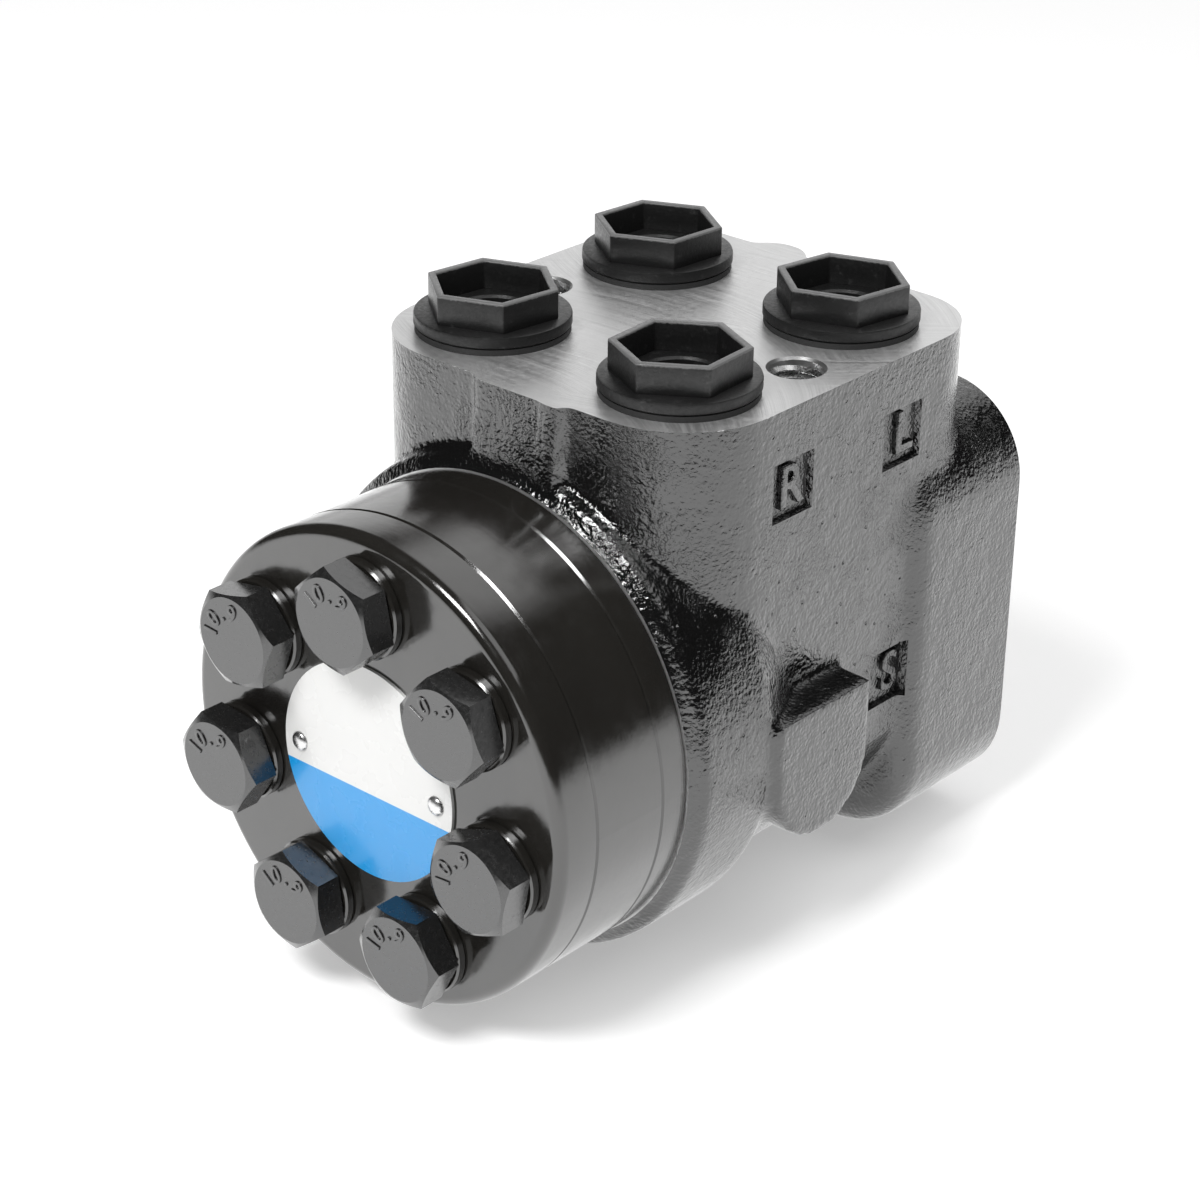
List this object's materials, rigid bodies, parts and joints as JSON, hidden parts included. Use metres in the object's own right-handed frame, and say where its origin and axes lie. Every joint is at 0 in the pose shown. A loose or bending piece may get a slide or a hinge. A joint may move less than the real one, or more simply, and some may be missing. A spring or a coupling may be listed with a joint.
{
  "type": "orbital steering unit",
  "caption": "Hydraulic orbital steering unit: gear set and black end cover, rough-cast housing with a port face and plastic transport plugs, splined spool at the column flange.",
  "frame": {"origin": "centre of the column mounting face, on the spool axis", "axes": "+Y along the spool axis out of the column face, +Z out of the port face"},
  "size_m": [0.0973, 0.1408, 0.1182],
  "materials": {
    "black_paint": "gloss",
    "black_steel": "satin",
    "steel": "satin",
    "spring_steel": "satin",
    "rubber": "matte",
    "black_plastic": "matte",
    "plate_finish": "satin"
  },
  "bodies": {
    "housing_body": {"housing": "black_paint", "distributor_plate": "black_paint", "gear_ring": "black_paint", "end_cover": "black_paint", "cover_bolts": "black_steel", "pin_bolt": "black_steel", "bolt_washers": "black_steel", "round_plate": "plate_finish", "plate_rivets": "steel", "housing_seal_ring": "rubber", "plate_seal_ring": "rubber", "cover_seal_ring": "rubber", "shaft_seal": "rubber", "dust_seal": "rubber", "outer_bearing_race": "steel", "check_stop_pin": "steel", "check_valve_seat": "steel", "relief_valve_seat": "steel", "relief_spring": "spring_steel", "relief_plug": "steel"},
    "sleeve_body": {"sleeve": "steel", "cross_pin": "steel", "spring_ring": "steel", "centring_springs": "spring_steel", "inner_bearing_race": "steel"},
    "spool_body": {"spool": "steel"},
    "needle_cage_body": {"needle_cage": "steel", "bearing_needles": "steel"},
    "drive_spacer_body": {"drive_spacer": "steel"},
    "rotor_body": {"gear_rotor": "steel"},
    "cardan_body": {"cardan_shaft": "steel"},
    "check_ball_body": {"check_ball": "steel"},
    "relief_cone_body": {"relief_cone": "steel"},
    "port_plug_r_body": {"port_plug_r": "black_plastic", "plug_seal_r": "rubber"},
    "port_plug_l_body": {"port_plug_l": "black_plastic", "plug_seal_l": "rubber"},
    "port_plug_p_body": {"port_plug_p": "black_plastic", "plug_seal_p": "rubber"},
    "port_plug_t_body": {"port_plug_t": "black_plastic", "plug_seal_t": "rubber"}
  },
  "joints": [
    {"name": "sleeve_turn", "type": "hinge", "parent": "housing_body", "child": "sleeve_body", "pos_m": [0, -0.06, 0], "axis": [0, 1, 0], "continuous": true},
    {"name": "spool_turn", "type": "hinge", "parent": "sleeve_body", "child": "spool_body", "pos_m": [0, -0.06, 0], "axis": [0, 1, 0], "range_deg": [-8, 8], "stiffness_Nm_per_rad": 8},
    {"name": "needle_cage_turn", "type": "hinge", "parent": "housing_body", "child": "needle_cage_body", "pos_m": [0, -0.0175, 0], "axis": [0, 1, 0], "continuous": true},
    {"name": "spacer_orbit", "type": "hinge", "parent": "housing_body", "child": "drive_spacer_body", "pos_m": [0, -0.1217, 0], "axis": [0, 1, 0], "continuous": true},
    {"name": "rotor_turn", "type": "hinge", "parent": "drive_spacer_body", "child": "rotor_body", "pos_m": [0, -0.1148, 0.0029], "axis": [0, 1, 0], "continuous": true},
    {"name": "cardan_turn", "type": "hinge", "parent": "drive_spacer_body", "child": "cardan_body", "pos_m": [0, -0.052, 0], "axis": [0, 0.9989, -0.0466], "continuous": true},
    {"name": "check_ball_lift", "type": "slide", "parent": "housing_body", "child": "check_ball_body", "axis": [0, -1, 0], "range_m": [0, 0.0025]},
    {"name": "relief_cone_lift", "type": "slide", "parent": "housing_body", "child": "relief_cone_body", "axis": [0, 1, 0], "range_m": [0, 0.0015], "stiffness_N_per_m": 20000, "springref_m": -0.002, "deforming": ["relief_spring"]},
    {"name": "port_plug_r_lift", "type": "slide", "parent": "housing_body", "child": "port_plug_r_body", "axis": [0, 0, 1], "range_m": [0, 0.03]},
    {"name": "port_plug_l_lift", "type": "slide", "parent": "housing_body", "child": "port_plug_l_body", "axis": [0, 0, 1], "range_m": [0, 0.03]},
    {"name": "port_plug_p_lift", "type": "slide", "parent": "housing_body", "child": "port_plug_p_body", "axis": [0, 0, 1], "range_m": [0, 0.03]},
    {"name": "port_plug_t_lift", "type": "slide", "parent": "housing_body", "child": "port_plug_t_body", "axis": [0, 0, 1], "range_m": [0, 0.03]}
  ],
  "couplings": [
    {"joint": "needle_cage_turn", "follows": "sleeve_turn", "ratio": 0.5},
    {"joint": "spacer_orbit", "follows": "sleeve_turn", "ratio": -6},
    {"joint": "rotor_turn", "follows": "sleeve_turn", "ratio": 7},
    {"joint": "cardan_turn", "follows": "sleeve_turn", "ratio": 7}
  ]
}
